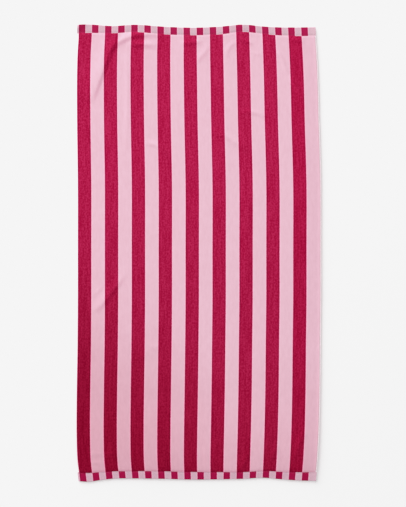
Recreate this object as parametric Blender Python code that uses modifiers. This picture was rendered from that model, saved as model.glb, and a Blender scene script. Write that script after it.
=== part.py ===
"""Striped cotton beach towel, laid out flat with its pile side up.

The towel is one woven length of cloth.  Its body is a thick pile in eighteen
lengthwise stripes.  Its two ends are thinner flat-woven hem bands, whose cells
are half a stripe wide, and its right side ends in a narrow woven selvedge.
It lies along Y, top end at +Y, with its underside on z = 0.  Folds and raised
edges lift the underside and the face together.  All sizes are in metres.
"""

from collections import namedtuple
from math import radians

import bpy
import numpy as np

# The cloth as it is woven
STRIPES = 18
STRIPE_WIDTH = 0.050
SELVEDGE_WIDTH = 0.005
WOVEN_WIDTH = STRIPES * STRIPE_WIDTH + SELVEDGE_WIDTH
CLOTH_LENGTH = 1.700
HEM_HEIGHT = 0.028
HEM_TAB = 0.006  # a hem band's plain left end, which stands out past the first stripe
SIDE_ROLL = 0.001  # the same strip rolled under beside the pile
PILE_START = 0.004  # run over which the pile rises beside a hem band
PILE_THICKNESS = 0.0036
HEM_THICKNESS = 0.0024

# The rectangle that the towel covers as it lies
LAID_WIDTH = 0.910
LAID_LENGTH = 1.702

# The first stripe's left edge and the selvedge's right edge, from the top end
# down: how far each lies inside that rectangle, and how high its underside
# stands off the floor
Side = namedtuple("Side", "down left right left_lift right_lift")
SIDES = (
    Side(0.00, 0.009, 0.023, 0.0010, 0.0020),
    Side(0.02, 0.008, 0.020, 0.0010, 0.0025),
    Side(0.06, 0.004, 0.015, 0.0012, 0.0035),
    Side(0.11, 0.002, 0.011, 0.0015, 0.0040),
    Side(0.20, 0.002, 0.007, 0.0010, 0.0040),
    Side(0.35, 0.005, 0.000, 0.0015, 0.0045),
    Side(0.50, 0.005, 0.000, 0.0012, 0.0040),
    Side(0.60, 0.005, 0.000, 0.0015, 0.0050),
    Side(0.70, 0.004, 0.002, 0.0020, 0.0050),
    Side(0.82, 0.001, 0.004, 0.0025, 0.0060),
    Side(0.90, 0.001, 0.008, 0.0025, 0.0060),
    Side(0.96, 0.005, 0.014, 0.0020, 0.0045),
    Side(1.00, 0.014, 0.022, 0.0015, 0.0025),
)

# The end edges, from the left side across, in the same terms
End = namedtuple("End", "across top bottom top_lift bottom_lift")
ENDS = (
    End(0.00, 0.003, 0.002, 0.0010, 0.0040),
    End(0.04, 0.001, 0.000, 0.0012, 0.0050),
    End(0.13, 0.005, 0.010, 0.0020, 0.0050),
    End(0.24, 0.000, 0.013, 0.0030, 0.0050),
    End(0.35, 0.008, 0.011, 0.0015, 0.0050),
    End(0.48, 0.011, 0.009, 0.0008, 0.0050),
    End(0.60, 0.008, 0.012, 0.0012, 0.0040),
    End(0.70, 0.000, 0.013, 0.0030, 0.0045),
    End(0.77, 0.006, 0.016, 0.0015, 0.0050),
    End(0.84, 0.012, 0.010, 0.0006, 0.0045),
    End(0.92, 0.012, 0.005, 0.0006, 0.0050),
    End(1.00, 0.012, 0.001, 0.0008, 0.0030),
)

# The towel rests on the floor inside a straight-sided area.  Its corners lie
# this far in from the edges of the cloth, and all round it the underside
# stands off the floor by at least REST_STEP.
REST_LEFT = 0.050
REST_RIGHT = 0.055
REST_END = 0.055
REST_STEP = 0.0004
ON_THE_LINE = 1e-6
HEIGHT_PLACES = 5  # heights go to a hundredth of a millimetre, and the resting area is level

# Folds: each is a low ridge along a smooth line through three places (x, y).
# It falls away over `broad` on the line's left and over `tight` on its right.
Fold = namedtuple("Fold", "start middle end height broad tight")
FOLDS = (
    Fold((-0.396, 0.560), (-0.328, 0.758), (-0.236, 0.800), 0.0070, 0.034, 0.020),
    Fold((-0.262, 0.774), (-0.205, 0.782), (-0.140, 0.772), 0.0040, 0.022, 0.020),
    Fold((-0.075, 0.776), (-0.033, 0.783), (0.008, 0.786), 0.0035, 0.024, 0.022),
    Fold((-0.012, 0.705), (0.012, 0.735), (0.040, 0.768), 0.0030, 0.026, 0.024),
    Fold((0.104, 0.722), (0.118, 0.780), (0.180, 0.800), 0.0035, 0.026, 0.024),
    Fold((0.050, 0.462), (0.120, 0.424), (0.182, 0.380), 0.0030, 0.030, 0.026),
    Fold((-0.200, 0.416), (-0.160, 0.400), (-0.120, 0.362), 0.0030, 0.028, 0.026),
    Fold((-0.392, -0.222), (-0.336, -0.155), (-0.284, -0.094), 0.0045, 0.026, 0.020),
    Fold((-0.400, -0.735), (-0.350, -0.742), (-0.300, -0.750), 0.0030, 0.026, 0.024),
    Fold((-0.155, -0.738), (-0.128, -0.772), (-0.108, -0.805), 0.0030, 0.026, 0.024),
    Fold((0.345, -0.775), (0.368, -0.722), (0.385, -0.670), 0.0030, 0.026, 0.024),
)
FOLD_STEPS = 40

# Rows of faces from the top end down: the length of each run, and its rows.
# The run left as None takes what the cloth's length leaves.
Run = namedtuple("Run", "length rows")
RUNS = (
    Run(HEM_HEIGHT, 2),
    Run(PILE_START, 1),
    Run(REST_END - HEM_HEIGHT - PILE_START, 2),
    Run(0.235, 13),
    Run(0.090, 3),
    Run(0.120, 6),
    Run(0.440, 9),
    Run(0.140, 7),
    Run(None, 10),
    Run(0.080, 4),
    Run(REST_END - HEM_HEIGHT - PILE_START, 2),
    Run(PILE_START, 1),
    Run(HEM_HEIGHT, 2),
)
HEM_ROWS = 2

# Columns of faces are half a stripe wide, and a quarter near the main folds
QUARTERED_HALF_STRIPES = 8

# The finishes: colour and roughness of each
Finish = namedtuple("Finish", "name colour roughness")
FINISHES = (
    Finish("crimson pile", (0.40, 0.010, 0.060, 1.0), 0.95),
    Finish("pink pile", (0.80, 0.50, 0.59, 1.0), 0.95),
    Finish("woven pink", (0.62, 0.44, 0.49, 1.0), 0.85),
)
CRIMSON, PINK, WOVEN_PINK = 0, 1, 2


def smooth_column(table, key, name, places):
    """A table's column read at any places, on a cubic curve that passes through every row."""
    known = np.array([getattr(row, key) for row in table])
    values = np.array([getattr(row, name) for row in table])
    slopes = np.gradient(values, known)
    row = np.clip(np.searchsorted(known, places, side="right") - 1, 0, len(known) - 2)
    span = known[row + 1] - known[row]
    t = (places - known[row]) / span
    from_start = values[row] * (1 + 2 * t) * (1 - t) ** 2 + slopes[row] * span * t * (1 - t) ** 2
    from_end = values[row + 1] * t**2 * (3 - 2 * t) - slopes[row + 1] * span * t**2 * (1 - t)
    return from_start + from_end


def column_places():
    """The grid's lines across, as distances from the first stripe, and each column's half stripe."""
    half_stripe = STRIPE_WIDTH / 2
    lines = [-HEM_TAB, 0.0]
    halves = [-1]
    for half in range(2 * STRIPES):
        cuts = 2 if half < QUARTERED_HALF_STRIPES else 1
        for cut in range(1, cuts + 1):
            lines.append((half + cut / cuts) * half_stripe)
            halves.append(half)
    lines.append(lines[-1] + SELVEDGE_WIDTH)
    halves.append(2 * STRIPES - 1)
    return np.array(lines), np.array(halves)


def row_places():
    """The grid's lines down the length, as distances from the top end."""
    spare = CLOTH_LENGTH - sum(run.length for run in RUNS if run.length)
    lines = [0.0]
    for run in RUNS:
        start = lines[-1]
        steps = np.arange(1, run.rows + 1) / run.rows
        lines.extend(start + (run.length or spare) * steps)
    return np.array(lines)


def spread(across, from_top):
    """Where each point of the cloth lies on the floor, and the towel's edges beside it.

    Across is a point's distance from the first stripe's left edge.
    """
    down = from_top / CLOTH_LENGTH
    u = np.clip(across, 0, None) / WOVEN_WIDTH
    left = -LAID_WIDTH / 2 + smooth_column(SIDES, "down", "left", down)
    right = LAID_WIDTH / 2 - smooth_column(SIDES, "down", "right", down)
    top = LAID_LENGTH / 2 - smooth_column(ENDS, "across", "top", u)
    bottom = -LAID_LENGTH / 2 + smooth_column(ENDS, "across", "bottom", u)
    from_end = np.minimum(from_top, CLOTH_LENGTH - from_top)
    shown = np.where(from_end < HEM_HEIGHT + PILE_START / 2, 1, SIDE_ROLL / HEM_TAB)
    x = left + u * (right - left) + shown * np.clip(across, None, 0)
    y = top + down * (bottom - top)
    return x, y, left, right, top, bottom


def straight_line(known, values, places):
    """The straight line through two known values, read at any places."""
    slope = (values[1] - values[0]) / (known[1] - known[0])
    return values[0] + slope * (places - known[0])


def resting_area(x, y):
    """The straight edges of the resting area beside each point: left, right, top, bottom."""
    far_right = WOVEN_WIDTH - REST_RIGHT
    far_down = CLOTH_LENGTH - REST_END
    corner_x, corner_y, *edges = spread(
        np.array([REST_LEFT, far_right, far_right, REST_LEFT]),
        np.array([REST_END, REST_END, far_down, far_down]),
    )
    left = straight_line(corner_y[[0, 3]], corner_x[[0, 3]], y)
    right = straight_line(corner_y[[1, 2]], corner_x[[1, 2]], y)
    top = straight_line(corner_x[[0, 1]], corner_y[[0, 1]], x)
    bottom = straight_line(corner_x[[3, 2]], corner_y[[3, 2]], x)
    return left, right, top, bottom


def edge_rise(lift, outside, reach):
    """A raised edge: from a small step at the resting area to its full lift at `reach`."""
    near = np.clip(outside / reach, 0, 1)
    rise = REST_STEP + (lift - REST_STEP) * near**2 * (3 - 2 * near)
    return np.where(outside > ON_THE_LINE, rise, 0)


def fold_rise(x, y, fold):
    """A ridge: raised-cosine section across the fold's line, fading out at the line's ends."""
    start, middle, end = (np.array(place) for place in (fold.start, fold.middle, fold.end))
    bend = 2 * middle - (start + end) / 2  # control point that draws the line through middle
    t = np.linspace(0, 1, FOLD_STEPS)[:, None]
    line = (1 - t) ** 2 * start + 2 * t * (1 - t) * bend + t**2 * end
    heading = (1 - t) * (bend - start) + t * (end - bend)
    heading /= np.linalg.norm(heading, axis=1)[:, None]
    left = np.stack([-heading[:, 1], heading[:, 0]], axis=1)

    away = np.stack([x, y], axis=1)[:, None, :] - line
    nearest = np.argmin((away**2).sum(axis=2), axis=1)
    away = away[np.arange(len(x)), nearest]
    to_left = (away * left[nearest]).sum(axis=1)
    width = np.where(to_left > 0, fold.broad, fold.tight)
    across = np.clip(np.linalg.norm(away, axis=1) / width, 0, 1)
    fade = np.sin(np.pi * t[nearest, 0])
    return fold.height * fade * (1 + np.cos(np.pi * across)) / 2


def lay_out(across, from_top):
    """Where each point of the cloth's underside lies, its raised edges and folds added up."""
    x, y, left, right, top, bottom = spread(across, from_top)
    rest_left, rest_right, rest_top, rest_bottom = resting_area(x, y)
    down = from_top / CLOTH_LENGTH
    u = np.clip(across, 0, None) / WOVEN_WIDTH
    left_lift = smooth_column(SIDES, "down", "left_lift", down)
    right_lift = smooth_column(SIDES, "down", "right_lift", down)
    top_lift = smooth_column(ENDS, "across", "top_lift", u)
    bottom_lift = smooth_column(ENDS, "across", "bottom_lift", u)

    z = edge_rise(left_lift, rest_left - x, rest_left - left)
    z += edge_rise(right_lift, x - rest_right, right - rest_right)
    z += edge_rise(top_lift, y - rest_top, top - rest_top)
    z += edge_rise(bottom_lift, rest_bottom - y, rest_bottom - bottom)
    for fold in FOLDS:
        z += fold_rise(x, y, fold)
    return np.stack([x, y, np.round(z, HEIGHT_PLACES)], axis=1)


def towel_underside():
    """The laid cloth's underside as an open grid, coloured, with its pile as vertex weights."""
    across_lines, halves = column_places()
    down_lines = row_places()
    columns = len(across_lines) - 1
    rows = len(down_lines) - 1
    bpy.ops.mesh.primitive_grid_add(x_subdivisions=columns, y_subdivisions=rows, size=1)
    towel = bpy.context.object
    towel.name = towel.data.name = "towel"

    square = np.empty(3 * len(towel.data.vertices))
    towel.data.vertices.foreach_get("co", square)
    square = square.reshape(-1, 3) + 0.5
    across = across_lines[np.rint(square[:, 0] * columns).astype(int)]
    from_top = down_lines[np.rint((1 - square[:, 1]) * rows).astype(int)]
    towel.data.vertices.foreach_set("co", lay_out(across, from_top).ravel())

    from_end = np.minimum(from_top, CLOTH_LENGTH - from_top)
    in_stripes = (across >= 0) & (across <= STRIPES * STRIPE_WIDTH)
    in_pile = in_stripes & (from_end > HEM_HEIGHT + PILE_START / 2)
    pile = towel.vertex_groups.new(name="pile")
    pile.add(np.flatnonzero(in_pile).tolist(), 1.0, "REPLACE")

    half = np.tile(halves, rows)
    row = np.repeat(np.arange(rows), columns)
    in_hem = (row < HEM_ROWS) | (row >= rows - HEM_ROWS)
    stripe = np.clip(half, 0, None) // 2
    pile_finish = np.where(stripe % 2 == 0, CRIMSON, PINK)
    hem_finish = np.where(half % 2 == 0, CRIMSON, WOVEN_PINK)
    towel.data.polygons.foreach_set("material_index", np.where(in_hem, hem_finish, pile_finish))
    return towel


def give_thickness(towel):
    """The cloth's body above its underside: full under the pile, thinner at the woven edges."""
    cloth = towel.modifiers.new("cloth thickness", "SOLIDIFY")
    cloth.thickness = PILE_THICKNESS
    cloth.offset = 1
    cloth.use_rim = True
    cloth.vertex_group = "pile"
    cloth.thickness_vertex_group = HEM_THICKNESS / PILE_THICKNESS
    bpy.ops.object.modifier_apply(modifier=cloth.name)
    towel.data.shade_smooth()
    towel.data.set_sharp_from_angle(angle=radians(40))


def give_finishes(towel):
    for finish in FINISHES:
        material = bpy.data.materials.new(finish.name)
        material.use_nodes = True
        material.diffuse_color = finish.colour
        shader = material.node_tree.nodes["Principled BSDF"]
        shader.inputs["Base Color"].default_value = finish.colour
        shader.inputs["Roughness"].default_value = finish.roughness
        shader.inputs["Metallic"].default_value = 0.0
        towel.data.materials.append(material)


for thing in list(bpy.data.objects):
    bpy.data.objects.remove(thing, do_unlink=True)

towel = towel_underside()
give_finishes(towel)
give_thickness(towel)

collection = bpy.data.collections.new("beach towel")
bpy.context.scene.collection.children.link(collection)
for home in list(towel.users_collection):
    home.objects.unlink(towel)
collection.objects.link(towel)
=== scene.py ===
from collections import namedtuple
from math import pi

import bpy
import numpy as np
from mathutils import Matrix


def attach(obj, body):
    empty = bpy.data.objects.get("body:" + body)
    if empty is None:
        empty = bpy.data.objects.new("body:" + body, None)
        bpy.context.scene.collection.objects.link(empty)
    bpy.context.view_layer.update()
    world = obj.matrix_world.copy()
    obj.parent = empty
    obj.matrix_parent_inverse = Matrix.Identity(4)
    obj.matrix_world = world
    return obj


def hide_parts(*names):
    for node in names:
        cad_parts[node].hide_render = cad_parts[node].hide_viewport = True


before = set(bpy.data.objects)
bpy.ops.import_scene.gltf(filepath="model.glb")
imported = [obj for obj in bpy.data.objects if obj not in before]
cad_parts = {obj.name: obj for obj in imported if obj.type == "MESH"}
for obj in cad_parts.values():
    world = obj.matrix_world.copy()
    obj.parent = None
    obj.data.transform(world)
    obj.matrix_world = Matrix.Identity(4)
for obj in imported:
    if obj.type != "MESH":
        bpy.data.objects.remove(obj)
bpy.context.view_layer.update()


# ============================================================================
# The cloth
# One woven length of cotton: cut velour pile on its face, terry loops on its
# back, and flat-woven bands at its two ends.  The edges are turned under and
# sewn, so it is a single sheet that thins and rounds off towards its edges.
# ============================================================================

STRIPES = 18
STRIPE_WIDTH = 0.050
PILE_WIDTH = STRIPES * STRIPE_WIDTH
SELVEDGE_WIDTH = 0.005
WOVEN_WIDTH = PILE_WIDTH + SELVEDGE_WIDTH
CLOTH_LENGTH = 1.700
HEM_HEIGHT = 0.028
HEM_TAB = 0.0065   # a hem band's plain left end, which stands out past the first stripe
SIDE_ROLL = 0.001  # the same strip rolled under beside the pile
PILE_THICKNESS = 0.0036
HEM_THICKNESS = 0.0024
EDGE_ROUND = 0.0018  # how far in from its edge the turned cloth is rounded
TAB_ENDS = (HEM_HEIGHT - 0.0006, HEM_HEIGHT + 0.0034)    # where the tab is rolled under,
PILE_RISES = (HEM_HEIGHT - 0.0012, HEM_HEIGHT + 0.0060)  # and the pile rises from the hem band,
PILE_FALLS = (PILE_WIDTH - 0.0011, PILE_WIDTH + 0.0005)  # and falls to the selvedge
WAVES_END = (0.012, 0.060)  # the hem's small waves die away between these, from an end
LAID_WIDTH = 0.910
LAID_LENGTH = 1.702
EDGE_REACH = 0.052   # how far in from an edge the cloth starts to leave the floor
RISE_REACH = 0.090   # how far in from the right edge the cloth starts to rise,
CURL_REACH = 0.017   # and to curl up
CURL_SHARE = 0.55    # by this share of its lift there
HEM_CREST = 0.052    # the bottom hem draws the cloth into a low arch, highest this far in,
HEM_ARCH = 0.340     # which starts this far in,
HEM_RIM = 0.74       # and keeps this share of its height at the edge

# The two long edges, from the top end down: how far each lies inside the laid
# rectangle, and how high its underside stands off the floor
Side = namedtuple("Side", "down left right left_lift right_lift")
SIDES = (
    Side(0.00, 0.009, 0.0220, 0.0010, 0.0042),
    Side(0.02, 0.008, 0.0195, 0.0010, 0.0046),
    Side(0.06, 0.004, 0.0150, 0.0012, 0.0053),
    Side(0.11, 0.002, 0.0110, 0.0015, 0.0056),
    Side(0.20, 0.002, 0.0070, 0.0010, 0.0056),
    Side(0.35, 0.005, 0.0000, 0.0015, 0.0059),
    Side(0.50, 0.005, 0.0000, 0.0012, 0.0059),
    Side(0.60, 0.005, 0.0000, 0.0015, 0.0062),
    Side(0.70, 0.004, 0.0020, 0.0020, 0.0066),
    Side(0.82, 0.001, 0.0040, 0.0025, 0.0068),
    Side(0.90, 0.001, 0.0080, 0.0025, 0.0066),
    Side(0.96, 0.005, 0.0140, 0.0020, 0.0056),
    Side(1.00, 0.014, 0.0205, 0.0015, 0.0046),
)

# The end edges, from the left side across, in the same terms, and how high the
# hem bands show there
End = namedtuple("End", "across top bottom top_lift bottom_lift top_hem bottom_hem")
ENDS = (
    End(0.00, 0.0021, 0.0030, 0.0010, 0.0057, 0.0315, 0.0330),
    End(0.04, 0.0004, 0.0018, 0.0012, 0.0068, 0.0320, 0.0328),
    End(0.08, 0.0030, 0.0070, 0.0016, 0.0071, 0.0300, 0.0305),
    End(0.13, 0.0064, 0.0125, 0.0020, 0.0073, 0.0280, 0.0278),
    End(0.24, 0.0020, 0.0140, 0.0030, 0.0077, 0.0280, 0.0280),
    End(0.35, 0.0084, 0.0126, 0.0015, 0.0077, 0.0290, 0.0288),
    End(0.48, 0.0126, 0.0098, 0.0008, 0.0073, 0.0290, 0.0292),
    End(0.60, 0.0084, 0.0108, 0.0012, 0.0066, 0.0295, 0.0275),
    End(0.70, 0.0014, 0.0130, 0.0030, 0.0068, 0.0278, 0.0255),
    End(0.77, 0.0076, 0.0168, 0.0015, 0.0073, 0.0282, 0.0262),
    End(0.84, 0.0112, 0.0120, 0.0006, 0.0071, 0.0305, 0.0280),
    End(0.92, 0.0116, 0.0068, 0.0006, 0.0073, 0.0328, 0.0310),
    End(1.00, 0.0111, 0.0048, 0.0008, 0.0052, 0.0330, 0.0335),
)
HEM_EASE = 0.25  # how far in from an end the pile makes up for its hem's uneven height


def smooth_column(table, key, name, places):
    """A table's column read at any places, on a cubic curve that passes through every row."""
    known = np.array([getattr(row, key) for row in table])
    values = np.array([getattr(row, name) for row in table])
    slopes = np.gradient(values, known)
    row = np.clip(np.searchsorted(known, places, side="right") - 1, 0, len(known) - 2)
    span = known[row + 1] - known[row]
    t = (places - known[row]) / span
    from_start = values[row] * (1 + 2 * t) * (1 - t) ** 2 + slopes[row] * span * t * (1 - t) ** 2
    from_end = values[row + 1] * t**2 * (3 - 2 * t) - slopes[row + 1] * span * t**2 * (1 - t)
    return from_start + from_end


def soft_step(values, start, end):
    """0 before start and 1 after end, on the cubic 3t^2 - 2t^3 between them."""
    t = np.clip((values - start) / (end - start), 0, 1)
    return t * t * (3 - 2 * t)


def spread(across, from_top):
    """Where each point of the cloth lies on the floor, from its distances across and down.

    A point keeps its share of the way from the left edge to the right one, and from the top
    edge to the bottom one, and the edges are the tables' curves.  Each hem band is as high as
    its table says, and the pile next to it gives way.  Left of the first stripe the hem bands
    stand out in full, and beside the pile only the rolled part shows.
    """
    down = from_top / CLOTH_LENGTH
    u = np.clip(across, 0, None) / WOVEN_WIDTH
    left = -LAID_WIDTH / 2 + smooth_column(SIDES, "down", "left", down)
    right = LAID_WIDTH / 2 - smooth_column(SIDES, "down", "right", down)
    top = LAID_LENGTH / 2 - smooth_column(ENDS, "across", "top", u)
    bottom = -LAID_LENGTH / 2 + smooth_column(ENDS, "across", "bottom", u)
    from_end = np.minimum(from_top, CLOTH_LENGTH - from_top)
    in_pile = soft_step(from_end, *TAB_ENDS)
    shown = 1 + (SIDE_ROLL / HEM_TAB - 1) * in_pile
    x = left + u * (right - left) + shown * np.clip(across, None, 0)
    y = top + down * (bottom - top)
    hems = (("top_hem", from_top, -1), ("bottom_hem", CLOTH_LENGTH - from_top, 1))
    for name, from_edge, inward in hems:
        extra = smooth_column(ENDS, "across", name, u) - HEM_HEIGHT
        share = np.clip(from_edge / HEM_HEIGHT, 0, 1)
        share = share * (1 - soft_step(from_edge, HEM_HEIGHT, HEM_EASE))
        y = y + inward * extra * share
    return x, y, shown


# The towel was laid by hand, and its folds are the few that were not smoothed
# out.  Each is a low ridge along a smooth line through three places (x, y).  It
# falls away over `broad` on the line's left and over `tight` on its right.
Fold = namedtuple("Fold", "start middle end height broad tight")
FOLDS = (
    # the long crease round the top left corner, the ridge along the hem's seam, and the fold
    # below it
    Fold((-0.400, 0.557), (-0.350, 0.692), (-0.298, 0.828), 0.0052, 0.074, 0.0125),
    Fold((-0.333, 0.745), (-0.268, 0.800), (-0.143, 0.813), 0.0046, 0.024, 0.019),
    Fold((-0.266, 0.779), (-0.214, 0.777), (-0.158, 0.772), 0.0043, 0.021, 0.021),
    # the turned-up tip of that corner
    Fold((-0.493, 0.800), (-0.446, 0.847), (-0.400, 0.893), 0.0056, 0.010, 0.026),
    # the folds that run on along the top hem
    Fold((-0.070, 0.778), (-0.025, 0.784), (0.012, 0.787), 0.0034, 0.018, 0.018),
    Fold((-0.012, 0.706), (0.014, 0.739), (0.040, 0.776), 0.0022, 0.020, 0.016),
    Fold((0.106, 0.726), (0.112, 0.765), (0.145, 0.785), 0.0018, 0.014, 0.013),
    Fold((0.138, 0.812), (0.168, 0.789), (0.201, 0.778), 0.0034, 0.014, 0.013),
    Fold((0.194, 0.743), (0.216, 0.741), (0.242, 0.733), 0.0011, 0.014, 0.013),
    # creases that fan out from the top right part
    Fold((0.234, 0.804), (0.262, 0.769), (0.290, 0.726), 0.0034, 0.016, 0.014),
    Fold((0.290, 0.756), (0.311, 0.713), (0.331, 0.666), 0.0026, 0.012, 0.011),
    Fold((0.339, 0.793), (0.365, 0.791), (0.387, 0.785), 0.0024, 0.014, 0.012),
    Fold((0.339, 0.659), (0.361, 0.616), (0.387, 0.570), 0.0030, 0.013, 0.011),
    Fold((0.249, 0.659), (0.272, 0.592), (0.294, 0.506), 0.0020, 0.014, 0.014),
    Fold((0.338, 0.580), (0.352, 0.545), (0.366, 0.490), 0.0014, 0.018, 0.016),
    # short wrinkles where the cloth was pulled straight
    Fold((0.048, 0.456), (0.119, 0.423), (0.182, 0.376), 0.0030, 0.022, 0.018),
    Fold((0.153, 0.519), (0.205, 0.523), (0.246, 0.503), 0.0026, 0.015, 0.013),
    Fold((-0.197, 0.408), (-0.154, 0.397), (-0.117, 0.348), 0.0036, 0.018, 0.015),
    Fold((-0.213, -0.316), (-0.178, -0.345), (-0.140, -0.352), 0.0018, 0.018, 0.014),
    Fold((-0.250, -0.410), (-0.200, -0.376), (-0.145, -0.345), 0.0008, 0.018, 0.016),
    # the slanting crease low on the left, and the small one above it
    Fold((-0.388, -0.221), (-0.334, -0.158), (-0.272, -0.075), 0.0034, 0.033, 0.015),
    Fold((-0.396, -0.158), (-0.374, -0.140), (-0.350, -0.112), 0.0010, 0.014, 0.012),
    # soft lengthwise ridges left by the roll that the towel came off
    Fold((-0.268, 0.775), (-0.266, 0.580), (-0.270, 0.370), 0.0018, 0.018, 0.016),
    Fold((-0.062, 0.330), (-0.050, 0.170), (-0.058, 0.010), 0.0009, 0.024, 0.022),
    Fold((0.170, 0.240), (0.178, 0.020), (0.170, -0.200), 0.0009, 0.026, 0.024),
    # puckers that the bottom hem pulls into the pile
    Fold((-0.413, -0.753), (-0.376, -0.745), (-0.342, -0.753), 0.0010, 0.012, 0.011),
    Fold((-0.409, -0.783), (-0.376, -0.779), (-0.346, -0.786), 0.0010, 0.010, 0.009),
    Fold((-0.350, -0.777), (-0.327, -0.743), (-0.305, -0.777), 0.0022, 0.012, 0.011),
    Fold((-0.156, -0.732), (-0.132, -0.773), (-0.108, -0.814), 0.0034, 0.012, 0.012),
    Fold((0.016, -0.728), (0.028, -0.760), (0.036, -0.800), 0.0012, 0.018, 0.016),
    Fold((0.153, -0.810), (0.170, -0.773), (0.188, -0.729), 0.0024, 0.014, 0.013),
    Fold((0.261, -0.773), (0.279, -0.740), (0.290, -0.706), 0.0018, 0.014, 0.013),
    Fold((0.352, -0.775), (0.374, -0.706), (0.396, -0.655), 0.0024, 0.020, 0.016),
)
FOLD_STEPS = 40
CREST = 0.8  # powers: under 1, a ridge has a narrower crest,
FADE = 0.7   # and keeps its height until nearer its ends


def fold_rise(x, y, fold):
    """How far a fold lifts each point: a ridge across its line, fading out at both ends.

    The line is the quadratic curve through the fold's three places, and distances are taken to
    the nearest of its FOLD_STEPS points.  The section is a raised cosine of the distance to the
    power CREST, which draws the ridge to a narrower crest than a plain wave has.  Along its line
    the height follows a half sine to the power FADE, so that it holds up until near the ends.
    """
    start, middle, end = (np.array(place) for place in (fold.start, fold.middle, fold.end))
    bend = 2 * middle - (start + end) / 2
    t = np.linspace(0, 1, FOLD_STEPS)[:, None]
    line = (1 - t) ** 2 * start + 2 * t * (1 - t) * bend + t**2 * end
    heading = (1 - t) * (bend - start) + t * (end - bend)
    heading /= np.linalg.norm(heading, axis=1)[:, None]
    left = np.stack([-heading[:, 1], heading[:, 0]], axis=1)

    places = np.stack([x, y], axis=-1)
    margin = max(fold.broad, fold.tight)
    lowest, highest = line.min(axis=0) - margin, line.max(axis=0) + margin
    near = ((places > lowest) & (places < highest)).all(axis=-1)
    away = places[near][:, None, :] - line
    nearest = np.argmin((away**2).sum(axis=2), axis=1)
    away = away[np.arange(len(away)), nearest]
    to_left = (away * left[nearest]).sum(axis=1)
    width = np.where(to_left > 0, fold.broad, fold.tight)
    reach = np.clip(np.linalg.norm(away, axis=1) / width, 0, 1) ** CREST
    rise = np.zeros(x.shape)
    fade = np.clip(np.sin(pi * t[nearest, 0]), 0, 1) ** FADE
    rise[near] = fold.height * fade * (1 + np.cos(pi * reach)) / 2
    return rise


# Cloth that has been washed or rolled is never quite level: long swells run
# down it, and the sewing draws the hem bands into small waves
Swell = namedtuple("Swell", "length heading phase height")
SWELLS = (
    Swell(0.310, 0.10, 0.4, 0.00040),
    Swell(0.173, -0.16, 1.9, 0.00026),
    Swell(0.118, 0.30, 4.1, 0.00016),
    Swell(0.083, -0.05, 2.7, 0.00010),
    Swell(0.410, 1.35, 0.9, 0.00045),
    Swell(0.190, 1.75, 3.3, 0.00018),
)
HEM_WAVES = (
    Swell(0.071, 0.0, 0.6, 0.00034),
    Swell(0.043, 0.0, 2.2, 0.00024),
    Swell(0.029, 0.0, 5.0, 0.00012),
)


def waves(table, x, y):
    """The sum of a table's waves, each between 0 and its height, along its heading from +X."""
    total = np.zeros(x.shape)
    for wave in table:
        along = x * np.cos(wave.heading) + y * np.sin(wave.heading)
        total += wave.height * (1 + np.sin(2 * pi * along / wave.length + wave.phase)) / 2
    return total


# The rows of sewing sink into the cloth: each lies this far in from its edge
HEM_SEAM = 0.0246
LEFT_SEAM = 0.0052
RIGHT_SEAM = WOVEN_WIDTH - 0.0030
SEAM_SINK = 0.0004
SEAM_SPREAD = 0.0011


def surfaces(across, from_top):
    """The cloth's underside and face at each point: x, y, the underside's z and the face's z.

    The underside is the sum of its raised edges, folds, swells and hem waves.  The face stands
    above it by the cloth's thickness, which steps up from the woven bands to the pile, sinks at
    the seams, and closes to nothing along the edges on a quarter ellipse.
    """
    x, y, shown = spread(across, from_top)
    u = np.clip(across, 0, None) / WOVEN_WIDTH
    down = from_top / CLOTH_LENGTH
    from_left = np.where(across < 0, shown * (across + HEM_TAB), shown * HEM_TAB + across)
    from_right = WOVEN_WIDTH - across
    from_bottom = CLOTH_LENGTH - from_top
    from_end = np.minimum(from_top, from_bottom)

    z = smooth_column(SIDES, "down", "left_lift", down) * (1 - soft_step(from_left, 0, EDGE_REACH))
    curl = np.clip(1 - from_right / CURL_REACH, 0, 1) ** 2
    rise = 1 - soft_step(from_right, 0, RISE_REACH)
    lifted = CURL_SHARE * curl + (1 - CURL_SHARE) * rise
    z += smooth_column(SIDES, "down", "right_lift", down) * lifted
    z += smooth_column(ENDS, "across", "top_lift", u) * (1 - soft_step(from_top, 0, EDGE_REACH))
    arch = HEM_RIM + (1 - HEM_RIM) * soft_step(from_bottom, 0, HEM_CREST)
    arch = arch * (1 - soft_step(from_bottom, HEM_CREST, HEM_ARCH))
    z += smooth_column(ENDS, "across", "bottom_lift", u) * arch
    for fold in FOLDS:
        z += fold_rise(x, y, fold)
    z += waves(SWELLS, x, y)
    z += waves(HEM_WAVES, x, y) * (1 - soft_step(from_end, *WAVES_END))

    in_pile = soft_step(from_end, *PILE_RISES) * (1 - soft_step(across, *PILE_FALLS))
    thickness = HEM_THICKNESS + (PILE_THICKNESS - HEM_THICKNESS) * in_pile
    for from_seam in (from_end - HEM_SEAM, across - LEFT_SEAM, across - RIGHT_SEAM):
        thickness = thickness - SEAM_SINK * np.exp(-((from_seam / SEAM_SPREAD) ** 2))
    closed = 1.0
    for from_edge in (from_left, from_right, from_top, from_bottom):
        reach = np.clip(from_edge / EDGE_ROUND, 0, 1)
        closed = closed * np.sqrt(reach * (2 - reach))
    middle = z + thickness / 2
    return x, y, middle - closed * thickness / 2, middle + closed * thickness / 2


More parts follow.
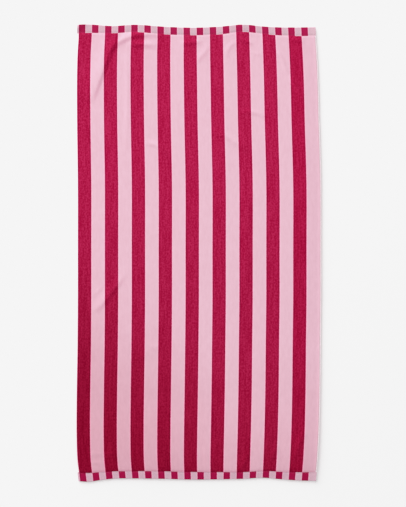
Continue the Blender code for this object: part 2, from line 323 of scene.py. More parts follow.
# Grid lines: a run of cloth is cut into equal steps.  They crowd at the
# rounded edges, the seams and the start of the pile.
Run = namedtuple("Run", "length steps")
ACROSS_RUNS = (
    Run(0.0003, 1), Run(0.0007, 1), Run(0.0010, 1), Run(0.0020, 2), Run(0.0020, 2),
    Run(0.0010, 2), Run(0.0030, 3), Run(0.0026, 5), Run(0.0034, 2), Run(0.0150, 3),
    Run(0.2500, 50), Run(0.6000, 93), Run(0.0180, 3),
    Run(0.0050, 2), Run(0.0010, 1), Run(0.0016, 3), Run(0.0020, 4),
    Run(0.0014, 2), Run(0.0007, 1), Run(0.0003, 1),
)
END_RUNS = (
    Run(0.0003, 1), Run(0.0007, 1), Run(0.0014, 2), Run(0.0206, 4),
    Run(0.0032, 6), Run(0.0008, 1), Run(0.0024, 3), Run(0.0046, 3),
)
BODY_RUNS = (
    Run(0.265, 55), Run(0.085, 12), Run(0.160, 26), Run(0.390, 34),
    Run(0.180, 32), Run(0.300, 31), Run(0.204, 30), Run(0.050, 9),
)


def grid_lines(runs, start, end):
    """Lines from start to end: each run's equal steps, end to end, then fitted to the whole."""
    steps = np.concatenate([[0.0], *(np.full(run.steps, run.length / run.steps) for run in runs)])
    lines = np.cumsum(steps)
    return start + (end - start) * lines / lines[-1]


across_lines = grid_lines(ACROSS_RUNS, -HEM_TAB, WOVEN_WIDTH)
end_reach = sum(run.length for run in END_RUNS)
top_lines = grid_lines(END_RUNS, 0, end_reach)
down_lines = np.concatenate([
    top_lines,
    grid_lines(BODY_RUNS, end_reach, CLOTH_LENGTH - end_reach)[1:-1],
    CLOTH_LENGTH - top_lines[::-1],
])


def closed_sheet(name, across_lines, down_lines):
    """A closed mesh of the cloth: a face grid and a back grid that share their outer points.

    Each point keeps its distances across and down as its UV, in metres, so that the stripes and
    the weave follow the cloth.
    """
    across, from_top = np.meshgrid(across_lines, down_lines)
    x, y, under, face = surfaces(across, from_top)
    rows, columns = x.shape
    inner = (slice(1, -1), slice(1, -1))
    face_points = np.stack([x, y, face], axis=-1)
    back_points = np.stack([x, y, under], axis=-1)[inner]
    cloth_places = np.stack([across, from_top], axis=-1)
    points = np.concatenate([face_points.reshape(-1, 3), back_points.reshape(-1, 3)])
    places = np.concatenate([cloth_places.reshape(-1, 2), cloth_places[inner].reshape(-1, 2)])

    face_ids = np.arange(rows * columns).reshape(rows, columns)
    back_ids = face_ids.copy()
    back_ids[inner] = rows * columns + np.arange((rows - 2) * (columns - 2)).reshape(rows - 2, -1)
    corners = []
    for ids, turn in ((face_ids, 1), (back_ids, -1)):
        quads = np.stack([ids[:-1, :-1], ids[1:, :-1], ids[1:, 1:], ids[:-1, 1:]], axis=-1)
        corners.append(quads.reshape(-1, 4)[:, ::turn])
    corners = np.concatenate(corners)

    mesh = bpy.data.meshes.new(name)
    mesh.vertices.add(len(points))
    mesh.vertices.foreach_set("co", points.ravel())
    mesh.loops.add(corners.size)
    mesh.loops.foreach_set("vertex_index", corners.ravel())
    mesh.polygons.add(len(corners))
    mesh.polygons.foreach_set("loop_start", np.arange(0, corners.size, 4))
    mesh.update(calc_edges=True)
    cloth_map = mesh.uv_layers.new(name="cloth")
    cloth_map.data.foreach_set("uv", places[corners.ravel()].ravel())
    mesh.shade_smooth()
    mesh.validate()
    sheet = bpy.data.objects.new(name, mesh)
    bpy.context.scene.collection.objects.link(sheet)
    return sheet, places[corners].mean(axis=1)


def feed(tree, socket, value):
    """A plain value, or the output of another node, put into one input of a node."""
    if isinstance(value, bpy.types.NodeSocket):
        tree.links.new(value, socket)
    else:
        socket.default_value = value


def node(tree, kind, inputs=None, **settings):
    """One shader node, with its settings and what feeds its inputs."""
    made = tree.nodes.new(kind)
    for name, value in settings.items():
        setattr(made, name, value)
    for socket, value in (inputs or {}).items():
        feed(tree, made.inputs[socket], value)
    return made


def reckon(tree, operation, *values):
    """One step of arithmetic in a material."""
    return node(tree, "ShaderNodeMath", dict(enumerate(values)), operation=operation).outputs[0]


def ramp(tree, value, start, end, curve="SMOOTHSTEP"):
    """A mask that goes from 0 at start to 1 at end, on the cubic 3t^2 - 2t^3 or a straight line."""
    inputs = {"Value": value, "From Min": start, "From Max": end}
    return node(tree, "ShaderNodeMapRange", inputs, interpolation_type=curve).outputs["Result"]


def blend(tree, share, first, second, blend_type="MIX"):
    """Two colours mixed: the share is that of the second one."""
    mix = node(tree, "ShaderNodeMix", data_type="RGBA", blend_type=blend_type)
    for place, value in ((0, share), (6, first), (7, second)):
        feed(tree, mix.inputs[place], value)
    return mix.outputs[2]


def tint(tree, share, colour, by):
    """A colour multiplied by another one, as far as the share says."""
    return blend(tree, share, colour, by, "MULTIPLY")


def grey(tree, brightness):
    """A plain grey of a given brightness."""
    return node(tree, "ShaderNodeCombineXYZ", dict.fromkeys("XYZ", brightness)).outputs[0]


def effect(name, takes, gives):
    """An empty shader node group with named inputs and outputs, and its two end nodes."""
    group = bpy.data.node_groups.new(name, "ShaderNodeTree")
    for socket, (kind, usual) in takes.items():
        made = group.interface.new_socket(socket, in_out="INPUT", socket_type=kind)
        if usual is not None:
            made.default_value = usual
    for socket, kind in gives.items():
        group.interface.new_socket(socket, in_out="OUTPUT", socket_type=kind)
    given = group.nodes.new("NodeGroupInput").outputs
    out = group.nodes.new("NodeGroupOutput").inputs
    return group, given, out


NUMBER, VECTOR = "NodeSocketFloat", "NodeSocketVector"

# Stripes that are woven or piled side by side.  Their edges wander by a yarn or two, and beside
# each edge lie a row inside the second colour, a row outside it, and the line where they meet.
# A row's shift from the edge and its two half widths are shares of the group's "Edge line"
WANDER_PER_METRE = (420.0, 160.0, 1.0)
LAST_PLACE = PILE_WIDTH - 0.012  # the last stripe has no edge on its right
EdgeRow = namedtuple("EdgeRow", "shift faded full")
EDGE_ROWS = {
    "Line inside": EdgeRow(-0.75, 0.90, 0.25),
    "Line outside": EdgeRow(1.00, 0.90, 0.25),
    "Meeting": EdgeRow(0.16, 0.36, 0.12),
}
stripes, given, out = effect(
    "striped yarns",
    {"Cloth place": (VECTOR, None), "Stripe width": (NUMBER, 0.05), "Edge wander": (NUMBER, 0.001),
     "Edge blur": (NUMBER, 0.0006), "Edge line": (NUMBER, 0.003)},
    {"Second colour": NUMBER, **dict.fromkeys(EDGE_ROWS, NUMBER)},
)
split = node(stripes, "ShaderNodeSeparateXYZ", {"Vector": given["Cloth place"]}).outputs
tufts = node(stripes, "ShaderNodeVectorMath", {0: given["Cloth place"], 1: WANDER_PER_METRE},
             operation="MULTIPLY").outputs[0]
wander = node(stripes, "ShaderNodeTexNoise", {"Vector": tufts, "Scale": 1.0, "Detail": 1.0},
              noise_dimensions="2D").outputs["Fac"]
wander = reckon(stripes, "MULTIPLY", reckon(stripes, "SUBTRACT", wander, 0.5),
                given["Edge wander"])
place = reckon(stripes, "MINIMUM", split["X"], LAST_PLACE)
half = reckon(stripes, "MULTIPLY", given["Stripe width"], 0.5)
place = reckon(stripes, "SUBTRACT", reckon(stripes, "ADD", place, wander), half)
fold_back = reckon(stripes, "PINGPONG", place, given["Stripe width"])
second = ramp(stripes, fold_back, reckon(stripes, "SUBTRACT", half, given["Edge blur"]),
              reckon(stripes, "ADD", half, given["Edge blur"]))
stripes.links.new(second, out["Second colour"])
inside = reckon(stripes, "SUBTRACT", fold_back, half)
for name, row in EDGE_ROWS.items():
    off_row = reckon(stripes, "MULTIPLY_ADD", given["Edge line"], row.shift, inside)
    off_row = reckon(stripes, "DIVIDE", reckon(stripes, "ABSOLUTE", off_row), given["Edge line"])
    stripes.links.new(ramp(stripes, off_row, row.faded, row.full), out[name])

# The unevenness of dyed cotton: flecks of a given size, as the share of the lighter shade
FLECK_MIDDLE = 0.5
flecks, given, out = effect(
    "cotton flecks",
    {"Cloth place": (VECTOR, None), "Fleck across": (NUMBER, 0.003),
     "Fleck along": (NUMBER, 0.006), "Contrast": (NUMBER, 1.0)},
    {"Light share": NUMBER},
)
per_metre = node(flecks, "ShaderNodeCombineXYZ", {
    "X": reckon(flecks, "DIVIDE", 1.0, given["Fleck across"]),
    "Y": reckon(flecks, "DIVIDE", 1.0, given["Fleck along"]),
}).outputs[0]
fleck_place = node(flecks, "ShaderNodeVectorMath", {0: given["Cloth place"], 1: per_metre},
                   operation="MULTIPLY").outputs[0]
spots = node(flecks, "ShaderNodeTexNoise", {
    "Vector": fleck_place, "Scale": 1.0, "Detail": 4.0, "Roughness": 0.75,
}, noise_dimensions="2D").outputs["Fac"]
spots = reckon(flecks, "SUBTRACT", spots, FLECK_MIDDLE)
share = reckon(flecks, "MULTIPLY_ADD", spots, given["Contrast"], FLECK_MIDDLE)
flecks.links.new(share, out["Light share"])

# Flat weave: warp and weft yarns that pass over and under each other, as a height from 0 to 1
WEFT_HIDDEN, WEFT_SHOWN = -0.2, 0.5
weave, given, out = effect(
    "flat weave",
    {"Cloth place": (VECTOR, None), "Yarn pitch": (NUMBER, 0.001)},
    {"Height": NUMBER, "Weft": NUMBER},
)
per_yarn = reckon(weave, "DIVIDE", 2 * pi, given["Yarn pitch"])
split = node(weave, "ShaderNodeSeparateXYZ", {"Vector": given["Cloth place"]}).outputs
over = reckon(weave, "SINE", reckon(weave, "MULTIPLY", split["X"], per_yarn))
under = reckon(weave, "SINE", reckon(weave, "MULTIPLY", split["Y"], per_yarn))
checks = reckon(weave, "MULTIPLY", over, under)
weave.links.new(reckon(weave, "MULTIPLY_ADD", checks, 0.5, 0.5), out["Height"])
weave.links.new(ramp(weave, checks, WEFT_HIDDEN, WEFT_SHOWN, "LINEAR"), out["Weft"])


def use(tree, group, inputs):
    """A shared effect placed in a material with its own values."""
    return node(tree, "ShaderNodeGroup", inputs, node_tree=group).outputs


def flecked(tree, cloth_place, across, along, contrast):
    """Cotton flecks of a given size on the cloth, as the share of the lighter shade."""
    return use(tree, flecks, {
        "Cloth place": cloth_place, "Fleck across": across, "Fleck along": along,
        "Contrast": contrast,
    })["Light share"]


SHEEN_TINT = (1.0, 0.55, 0.68, 1.0)


def cloth_material(name, roughness, sheen):
    """A matt cotton material, with its shader and the cloth's own map ready for use."""
    material = bpy.data.materials.new(name)
    material.use_nodes = True
    tree = material.node_tree
    shader = tree.nodes["Principled BSDF"]
    shader.inputs["Roughness"].default_value = roughness
    shader.inputs["Specular IOR Level"].default_value = 0.12
    shader.inputs["Sheen Weight"].default_value = sheen
    shader.inputs["Sheen Roughness"].default_value = 0.45
    shader.inputs["Sheen Tint"].default_value = SHEEN_TINT
    cloth_place = node(tree, "ShaderNodeUVMap", uv_map="cloth").outputs["UV"]
    return material, tree, shader, cloth_place


def give_relief(tree, shader, height, depth):
    """Fine relief on a material, from a height between 0 and 1 and a depth in metres."""
    bump = node(tree, "ShaderNodeBump", {"Height": height, "Strength": 1.0, "Distance": depth})
    tree.links.new(bump.outputs["Normal"], shader.inputs["Normal"])


# Velour pile: sheared tufts of two dyed cottons
DEEP_CRIMSON = (0.370, 0.0045, 0.0520, 1.0)
LIGHT_CRIMSON = (0.540, 0.0270, 0.1080, 1.0)
DEEP_PINK = (0.835, 0.5000, 0.6060, 1.0)
LIGHT_PINK = (0.880, 0.5450, 0.6550, 1.0)
velour, tree, shader, cloth_place = cloth_material("velour pile", roughness=0.95, sheen=0.10)
striped = use(tree, stripes, {"Cloth place": cloth_place, "Stripe width": STRIPE_WIDTH,
                              "Edge wander": 0.0014, "Edge blur": 0.0005, "Edge line": 0.0031})
tufts = flecked(tree, cloth_place, across=0.0056, along=0.0072, contrast=3.9)
ribs = flecked(tree, cloth_place, across=0.0070, along=0.11, contrast=2.0)
ribs = reckon(tree, "SUBTRACT", ribs, FLECK_MIDDLE)
crimson = blend(tree, reckon(tree, "ADD", tufts, ribs), DEEP_CRIMSON, LIGHT_CRIMSON)
cloud = flecked(tree, cloth_place, across=0.0110, along=0.0340, contrast=2.7)
pink = blend(tree, cloud, DEEP_PINK, LIGHT_PINK)

# Painted shade: the crimson pile is painted darker down the cloth, for the light falling off
# towards the bottom, and both colours darker towards the lower left, where the brushed nap leans
# away from the light. The nap shade's limits are distances down the cloth, less NAP_SLANT of those
# across
LOWER_SHADE_START, LOWER_SHADE_END = 0.40, 1.15
CRIMSON_LOWER_SHADE = (0.890, 0.850, 0.870, 1.0)
NAP_SLANT = 0.75
NAP_ACROSS = 0.58
NAP_SHADE_START, NAP_SHADE_END = 0.735, 1.515
CRIMSON_NAP_SHADE = (0.670, 0.390, 0.490, 1.0)
PINK_NAP_SHADE = (0.870, 0.750, 0.760, 1.0)
split = node(tree, "ShaderNodeSeparateXYZ", {"Vector": cloth_place}).outputs
slanted = reckon(tree, "MULTIPLY_ADD", reckon(tree, "MINIMUM", split["X"], NAP_ACROSS),
                 -NAP_SLANT, split["Y"])
nap_shade_wobble = flecked(tree, cloth_place, across=0.13, along=0.30, contrast=0.30)
nap_shade = ramp(tree, reckon(tree, "ADD", slanted, nap_shade_wobble),
           NAP_SHADE_START + FLECK_MIDDLE, NAP_SHADE_END + FLECK_MIDDLE)
# The painted shade laid on: darker down the cloth for the crimson, and towards the lower left for
# both
crimson = tint(tree, ramp(tree, split["Y"], LOWER_SHADE_START, LOWER_SHADE_END), crimson, CRIMSON_LOWER_SHADE)
crimson = tint(tree, nap_shade, crimson, CRIMSON_NAP_SHADE)
pink = tint(tree, nap_shade, pink, PINK_NAP_SHADE)

# Painted shade: the last pair of stripes, which rises to the right edge, is painted a shade darker
LAST_SHADE_START = PILE_WIDTH - 0.106
LAST_SHADE_END = PILE_WIDTH - 0.098
LAST_CRIMSON_SHADE = (0.960, 0.740, 0.880, 1.0)
LAST_PINK_SHADE = (0.945, 0.940, 0.945, 1.0)
last_shade = ramp(tree, split["X"], LAST_SHADE_START, LAST_SHADE_END, "LINEAR")
crimson = tint(tree, last_shade, crimson, LAST_CRIMSON_SHADE)
pink = tint(tree, last_shade, pink, LAST_PINK_SHADE)

# Where the colours meet, painted highlight and painted shade: the pale row is painted lighter, as
# if it stood up and caught the light, and the crimson row darker, as if in its shade. The line
# between, where the tufts of both mingle, is painted a bright rose highlight
ROW_HIGHLIGHT = (1.135, 1.050, 1.085, 1.0)
ROW_SHADE = (0.690, 0.780, 0.790, 1.0)
MEETING_HIGHLIGHT = (0.860, 0.110, 0.270, 1.0)
crimson = tint(tree, striped["Line outside"], crimson, ROW_SHADE)
pink = tint(tree, striped["Line inside"], pink, ROW_HIGHLIGHT)

# Painted shade: where a fold turns the pile away from the light, to the lower right, its colour is
# painted deeper and more saturated
TOWARDS_LIGHT = (-0.64, 0.77, 0.0)
TURNED_SHADE_START, TURNED_SHADE_END = -0.03, -0.22
CRIMSON_TURNED_SHADE = (0.980, 0.700, 0.920, 1.0)
PINK_TURNED_SHADE = (1.070, 0.955, 1.000, 1.0)
facing = node(tree, "ShaderNodeNewGeometry").outputs["Normal"]
facing_light = node(tree, "ShaderNodeVectorMath", {0: facing, 1: TOWARDS_LIGHT},
              operation="DOT_PRODUCT").outputs["Value"]
turned_shade = ramp(tree, facing_light, TURNED_SHADE_START, TURNED_SHADE_END, "LINEAR")
crimson = tint(tree, turned_shade, crimson, CRIMSON_TURNED_SHADE)
pink = tint(tree, turned_shade, pink, PINK_TURNED_SHADE)
colour = blend(tree, striped["Second colour"], crimson, pink)
colour = blend(tree, striped["Meeting"], colour, MEETING_HIGHLIGHT)
tree.links.new(colour, shader.inputs["Base Color"])
sheared = flecked(tree, cloth_place, across=0.0011, along=0.0016, contrast=1.0)
give_relief(tree, shader, sheared, depth=0.0005)

# Hem weave: the stripe's yarns change places every half stripe, and the pale ones show grey
# between. Painted shade: the bottom hem is painted a shade darker than the top one, for the light
# falling off towards the bottom
WOVEN_CRIMSON = (0.460, 0.0170, 0.0930, 1.0)
FAR_CRIMSON_SHADE = (0.405, 0.0095, 0.0750, 1.0)
WOVEN_PINK = (0.740, 0.4800, 0.5600, 1.0)
FAR_PINK_SHADE = (0.720, 0.4500, 0.5400, 1.0)
WARP_SHADE = 0.40
HEM_WEFT_SHADE = 0.16
hem_weave, tree, shader, cloth_place = cloth_material("hem weave", roughness=0.85, sheen=0.05)
striped = use(tree, stripes, {"Cloth place": cloth_place, "Stripe width": STRIPE_WIDTH / 2,
                              "Edge wander": 0.0012, "Edge blur": 0.0004, "Edge line": 0.0028})
yarns = use(tree, weave, {"Cloth place": cloth_place, "Yarn pitch": 0.0019})
fine = flecked(tree, cloth_place, across=0.0030, along=0.0030, contrast=0.3)
shade = reckon(tree, "MULTIPLY_ADD", yarns["Weft"], HEM_WEFT_SHADE, WARP_SHADE)
shade = reckon(tree, "ADD", fine, shade)
split = node(tree, "ShaderNodeSeparateXYZ", {"Vector": cloth_place}).outputs
# Painted shade, darkening from the top hem to the bottom one
far_shade = ramp(tree, split["Y"], HEM_HEIGHT, CLOTH_LENGTH - HEM_HEIGHT, "LINEAR")
crimson = blend(tree, far_shade, WOVEN_CRIMSON, FAR_CRIMSON_SHADE)
# The painted shade, painted highlight and bright rose line where the colours meet, as on the pile
crimson = tint(tree, striped["Line outside"], crimson, ROW_SHADE)
pink = blend(tree, far_shade, WOVEN_PINK, FAR_PINK_SHADE)
pink = tint(tree, striped["Line inside"], pink, ROW_HIGHLIGHT)
colour = blend(tree, striped["Second colour"], crimson, pink)
colour = blend(tree, striped["Meeting"], colour, MEETING_HIGHLIGHT)
tree.links.new(tint(tree, 1.0, colour, grey(tree, shade)), shader.inputs["Base Color"])
give_relief(tree, shader, yarns["Height"], depth=0.00025)

# The right side's woven selvedge: plain pale yarns, close and narrow
SELVEDGE_PINK = (0.900, 0.7800, 0.8150, 1.0)
SELVEDGE_WEFT_SHADE = 0.14
selvedge, tree, shader, cloth_place = cloth_material("selvedge weave", roughness=0.85, sheen=0.05)
yarns = use(tree, weave, {"Cloth place": cloth_place, "Yarn pitch": 0.0014})
fine = flecked(tree, cloth_place, across=0.0020, along=0.0060, contrast=0.24)
shade = reckon(tree, "MULTIPLY_ADD", yarns["Weft"], SELVEDGE_WEFT_SHADE, WARP_SHADE)
shade = reckon(tree, "ADD", fine, shade)
tree.links.new(tint(tree, 1.0, SELVEDGE_PINK, grey(tree, shade)), shader.inputs["Base Color"])
give_relief(tree, shader, yarns["Height"], depth=0.0002)

# Terry back: the same striped yarns in loops, which stand apart; painted shade in the gaps between
# them makes the back look a little deeper
LOOPS_PER_METRE = 520.0
LOOP_TOP_SHADE = 1.04
LOOP_GAP_SHADE = 0.35
terry, tree, shader, cloth_place = cloth_material("terry back", roughness=0.95, sheen=0.05)
striped = use(tree, stripes, {"Cloth place": cloth_place, "Stripe width": STRIPE_WIDTH,
                              "Edge wander": 0.0040, "Edge blur": 0.0010})
loops = node(tree, "ShaderNodeTexVoronoi", {
    "Vector": cloth_place, "Scale": LOOPS_PER_METRE, "Randomness": 0.7,
}, voronoi_dimensions="2D").outputs["Distance"]
gap_shade = reckon(tree, "MULTIPLY", loops, LOOP_GAP_SHADE)
shade = reckon(tree, "SUBTRACT", LOOP_TOP_SHADE, gap_shade)
fine = flecked(tree, cloth_place, across=0.0050, along=0.0050, contrast=1.6)
crimson = blend(tree, fine, DEEP_CRIMSON, LIGHT_CRIMSON)
pink = blend(tree, fine, DEEP_PINK, LIGHT_PINK)
colour = blend(tree, striped["Second colour"], crimson, pink)
tree.links.new(tint(tree, 1.0, colour, grey(tree, shade)), shader.inputs["Base Color"])
give_relief(tree, shader, reckon(tree, "SUBTRACT", 1.0, loops), depth=0.0008)

cloth, face_places = closed_sheet("towel_cloth", across_lines, down_lines)
for material in (velour, hem_weave, selvedge, terry):
    cloth.data.materials.append(material)
VELOUR_SLOT, HEM_SLOT, SELVEDGE_SLOT, TERRY_SLOT = range(4)
WEAVE_END = HEM_HEIGHT - 0.0004  # the pile's first tufts lean over the end of the weave
from_end = np.minimum(face_places[:, 1], CLOTH_LENGTH - face_places[:, 1])
on_back = np.arange(len(face_places)) >= len(face_places) // 2
finish = np.where(face_places[:, 0] > PILE_WIDTH, SELVEDGE_SLOT, VELOUR_SLOT)
finish = np.where(on_back, TERRY_SLOT, finish)
finish = np.where(from_end < WEAVE_END, HEM_SLOT, finish)
cloth.data.polygons.foreach_set("material_index", finish)

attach(cloth, "root")
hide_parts("towel")


# ============================================================================
# The sewing
# Rows of lockstitch in cotton thread hold the turned hems and sides down.
# Each stitch lies in the groove that it draws into the cloth, and dips into
# the cloth at both of its ends.
# ============================================================================

STITCH_PITCH = 0.0034
STITCH_LENGTH = 0.0030
THREAD_THICKNESS = 0.00042
STITCH_RINGS = 6
STITCH_SIDES = 6
STITCH_RISE = 0.55   # how far a stitch's middle rises over its ends, in thread thicknesses
STITCH_SINK = 0.25   # how far its ends lie under the cloth's face, in the same
STITCH_TIP = 0.0004  # the least that its section narrows to, as a share of its area
HEM_SEAM_ENDS = (-0.0045, WOVEN_WIDTH - 0.0015)
SIDE_SEAM_TOP = HEM_HEIGHT + 0.001
SIDE_SEAM_BOTTOM = CLOTH_LENGTH - SIDE_SEAM_TOP
Seam = namedtuple("Seam", "across_start down_start across_end down_end")
ROSE_SEAMS = (
    Seam(HEM_SEAM_ENDS[0], HEM_SEAM, HEM_SEAM_ENDS[1], HEM_SEAM),
    Seam(HEM_SEAM_ENDS[0], CLOTH_LENGTH - HEM_SEAM, HEM_SEAM_ENDS[1], CLOTH_LENGTH - HEM_SEAM),
    Seam(RIGHT_SEAM, SIDE_SEAM_TOP, RIGHT_SEAM, SIDE_SEAM_BOTTOM),
)
CRIMSON_SEAMS = (
    Seam(LEFT_SEAM, SIDE_SEAM_TOP, LEFT_SEAM, SIDE_SEAM_BOTTOM),
)


def seam_places(seam):
    """The two ends of every stitch in a seam, as cloth distances, a pitch apart along it."""
    start = np.array([seam.across_start, seam.down_start])
    run = np.array([seam.across_end, seam.down_end]) - start
    length = np.linalg.norm(run)
    count = int(length / STITCH_PITCH)
    heads = start + run * (np.arange(count)[:, None] * STITCH_PITCH / length)
    return heads, heads + run * STITCH_LENGTH / length


def sewn(name, seams):
    """All stitches of some seams as one mesh.

    A stitch is a tube of STITCH_RINGS rings round a shallow arc between its two ends, a half
    sine.  Its radius is the root of that half sine, so both ends narrow to a tip inside the
    cloth.
    """
    heads, tails = (np.concatenate(ends) for ends in zip(*(seam_places(seam) for seam in seams)))
    ends = []
    for places in (heads, tails):
        x, y, _, face = surfaces(places[:, 0], places[:, 1])
        ends.append(np.stack([x, y, face], axis=-1))
    head, tail = ends
    along = (tail - head) / np.linalg.norm(tail - head, axis=1)[:, None]
    aside = np.stack([-along[:, 1], along[:, 0], np.zeros(len(along))], axis=-1)
    aside /= np.linalg.norm(aside, axis=1)[:, None]
    upward = np.cross(along, aside)

    t = (1 - np.cos(np.linspace(0, pi, STITCH_RINGS))) / 2
    arc = np.sin(pi * t)
    radius = THREAD_THICKNESS / 2 * np.sqrt(np.clip(arc, STITCH_TIP, 1))
    lift = THREAD_THICKNESS * (STITCH_RISE * arc - STITCH_SINK)
    turn = 2 * pi * np.arange(STITCH_SIDES)[:, None] / STITCH_SIDES
    centre = head[:, None] + (tail - head)[:, None] * t[:, None] + upward[:, None] * lift[:, None]
    ring = aside[:, None, None] * np.cos(turn) + upward[:, None, None] * np.sin(turn)
    points = centre[:, :, None] + ring * radius[:, None, None]

    ids = np.arange(points[..., 0].size).reshape(points.shape[:3])
    beside = np.roll(ids, -1, axis=2)
    walls = [ids[:, :-1], beside[:, :-1], beside[:, 1:], ids[:, 1:]]
    faces = np.stack(walls, axis=-1).reshape(-1, 4).tolist()
    faces += ids[:, 0, ::-1].tolist() + ids[:, -1].tolist()
    mesh = bpy.data.meshes.new(name)
    mesh.from_pydata(points.reshape(-1, 3).tolist(), [], faces)
    mesh.shade_smooth()
    stitches = bpy.data.objects.new(name, mesh)
    bpy.context.scene.collection.objects.link(stitches)
    return stitches


ROSE = (0.56, 0.17, 0.25, 1.0)
CRIMSON = (0.40, 0.016, 0.066, 1.0)
THREAD_SHADE = 0.78  # the thread's deepest shade,
THREAD_WORN = 0.3    # and how much paler it is where it is most worn


def thread_material(name, colour):
    """Twisted cotton thread: slanting plies as fine relief, and a slight change of shade."""
    material = bpy.data.materials.new(name)
    material.use_nodes = True
    tree = material.node_tree
    shader = tree.nodes["Principled BSDF"]
    shader.inputs["Roughness"].default_value = 0.7
    shader.inputs["Specular IOR Level"].default_value = 0.2
    place = node(tree, "ShaderNodeTexCoord").outputs["Object"]
    plies = node(tree, "ShaderNodeTexWave", {"Vector": place, "Scale": 420.0, "Distortion": 0.6},
                 wave_type="BANDS", bands_direction="DIAGONAL").outputs["Fac"]
    worn = node(tree, "ShaderNodeTexNoise", {"Vector": place, "Scale": 90.0}).outputs["Fac"]
    shade = reckon(tree, "MULTIPLY_ADD", worn, THREAD_WORN, THREAD_SHADE)
    tree.links.new(tint(tree, 1.0, colour, grey(tree, shade)), shader.inputs["Base Color"])
    give_relief(tree, shader, plies, depth=0.0001)
    return material


rose_sewing = sewn("rose_sewing", ROSE_SEAMS)
rose_sewing.data.materials.append(thread_material("rose thread", ROSE))
crimson_sewing = sewn("crimson_sewing", CRIMSON_SEAMS)
crimson_sewing.data.materials.append(thread_material("crimson thread", CRIMSON))
for sewing in (rose_sewing, crimson_sewing):
    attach(sewing, "root")

FLOOR = "floor"


# ============================================================================
# The floor
# A plain white studio floor, painted matt and very slightly uneven.  It runs
# far enough out for a camera near the ground to see no end of it.
# ============================================================================

FLOOR_REACH = 60.0
FLOOR_STEPS = 8
FLOOR_SHADE = 0.68
FLOOR_UNEVEN = 0.02
# The room's white walls brighten the far floor, which its own faint glow stands for
GLOW = 0.352
GLOW_RISE_START, GLOW_RISE_END = 1.5, 16.0
GLOW_FAR = 2.4
floor_lines = np.linspace(-FLOOR_REACH, FLOOR_REACH, FLOOR_STEPS + 1)
floor_x, floor_y = np.meshgrid(floor_lines, floor_lines)
floor_points = np.stack([floor_x, floor_y, np.zeros(floor_x.shape)], axis=-1).reshape(-1, 3)
ids = np.arange(len(floor_points)).reshape(floor_x.shape)
floor_faces = np.stack([ids[:-1, :-1], ids[:-1, 1:], ids[1:, 1:], ids[1:, :-1]], axis=-1)
floor_mesh = bpy.data.meshes.new(FLOOR)
floor_mesh.from_pydata(floor_points.tolist(), [], floor_faces.reshape(-1, 4).tolist())
floor = bpy.data.objects.new(FLOOR, floor_mesh)
bpy.context.scene.collection.objects.link(floor)

paint = bpy.data.materials.new("floor paint")
paint.use_nodes = True
tree = paint.node_tree
shader = tree.nodes["Principled BSDF"]
shader.inputs["Roughness"].default_value = 0.9
shader.inputs["Specular IOR Level"].default_value = 0.1
shader.inputs["Emission Strength"].default_value = GLOW
place = node(tree, "ShaderNodeTexCoord").outputs["Object"]
away = node(tree, "ShaderNodeVectorMath", {0: place}, operation="LENGTH").outputs["Value"]
glow = node(tree, "ShaderNodeMapRange", {
    "Value": away, "From Min": GLOW_RISE_START, "From Max": GLOW_RISE_END,
    "To Min": 1.0, "To Max": GLOW_FAR,
}).outputs["Result"]
tree.links.new(grey(tree, glow), shader.inputs["Emission Color"])
rolled = node(tree, "ShaderNodeTexNoise", {
    "Vector": place, "Scale": 3.0, "Detail": 2.0,
}).outputs["Fac"]
shade = reckon(tree, "MULTIPLY_ADD", rolled, FLOOR_UNEVEN, FLOOR_SHADE)
tree.links.new(grey(tree, shade), shader.inputs["Base Color"])
floor_mesh.materials.append(paint)


# ============================================================================
# Light and camera
# A large soft box stands beyond the top left corner, 30 degrees above the
# floor, and the white room fills the shadows.  The camera hangs straight
# above the towel.
# ============================================================================

SOFT_BOX_PLACE = (-7.4, 8.8, 6.7)
SOFT_BOX_SIZE = 20.0
SOFT_BOX_POWER = 3920.0
ROOM_LIGHT = 0.38
ROOM_SEEN = 1.6

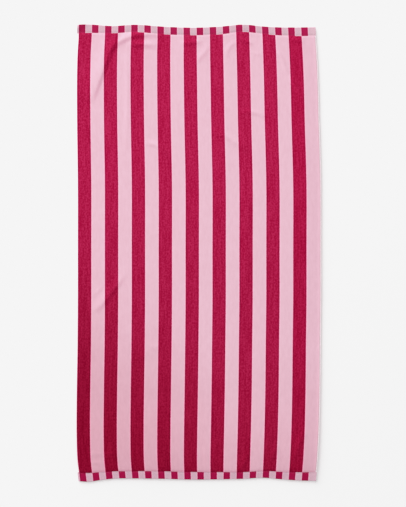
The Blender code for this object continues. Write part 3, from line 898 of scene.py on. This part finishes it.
box_light = bpy.data.lights.new("soft box", "AREA")
box_light.shape = "SQUARE"
box_light.size = SOFT_BOX_SIZE
box_light.energy = SOFT_BOX_POWER
soft_box = bpy.data.objects.new("soft box", box_light)
soft_box.location = SOFT_BOX_PLACE
aim = -soft_box.location
soft_box.rotation_euler = aim.to_track_quat("-Z", "Y").to_euler()
soft_box.visible_camera = False
bpy.context.scene.collection.objects.link(soft_box)

room = bpy.data.worlds.new("white room")
room.use_nodes = True
tree = room.node_tree
seen = node(tree, "ShaderNodeLightPath").outputs["Is Camera Ray"]
strength = reckon(tree, "MULTIPLY_ADD", seen, ROOM_SEEN - ROOM_LIGHT, ROOM_LIGHT)
tree.links.new(strength, tree.nodes["Background"].inputs["Strength"])
tree.nodes["Background"].inputs["Color"].default_value = (1.0, 1.0, 1.0, 1.0)
bpy.context.scene.world = room

PICTURE_SCALE = 0.00372  # metres of floor in one pixel of the photograph
PICTURE_HEIGHT = 507     # in pixels
CAMERA_HEIGHT = 6.0
CAMERA_ASIDE = (0.0150, -0.0013)  # the picture's middle, from the towel's

camera_data = bpy.data.cameras.new("camera")
camera_data.sensor_width = 36.0
camera_data.lens = camera_data.sensor_width * CAMERA_HEIGHT / (PICTURE_SCALE * PICTURE_HEIGHT)
camera_data.clip_end = 200.0
camera = bpy.data.objects.new("camera", camera_data)
camera.location = (*CAMERA_ASIDE, CAMERA_HEIGHT)
bpy.context.scene.collection.objects.link(camera)
bpy.context.scene.camera = camera

# The picture's tones: shadows a little deeper, and white held just short of full
Tone = namedtuple("Tone", "light shown")
TONES = (
    Tone(0.00, 0.000), Tone(0.01, 0.0035), Tone(0.02, 0.012), Tone(0.06, 0.045), Tone(0.10, 0.085),
    Tone(0.25, 0.240), Tone(0.45, 0.440), Tone(0.70, 0.665), Tone(0.90, 0.840), Tone(0.98, 0.885),
    Tone(1.05, 0.913), Tone(2.00, 0.913),
)
look = bpy.context.scene.view_settings
look.view_transform = "Standard"
look.look = "None"
look.use_curve_mapping = True
look.curve_mapping.clip_max_x = TONES[-1].light
curve = look.curve_mapping.curves[3]
for _ in TONES[2:]:
    curve.points.new(0.5, 0.5)
for point, tone in zip(curve.points, TONES):
    point.location = tone
    point.handle_type = "VECTOR" if tone.shown == TONES[-1].shown else "AUTO"
look.curve_mapping.update()
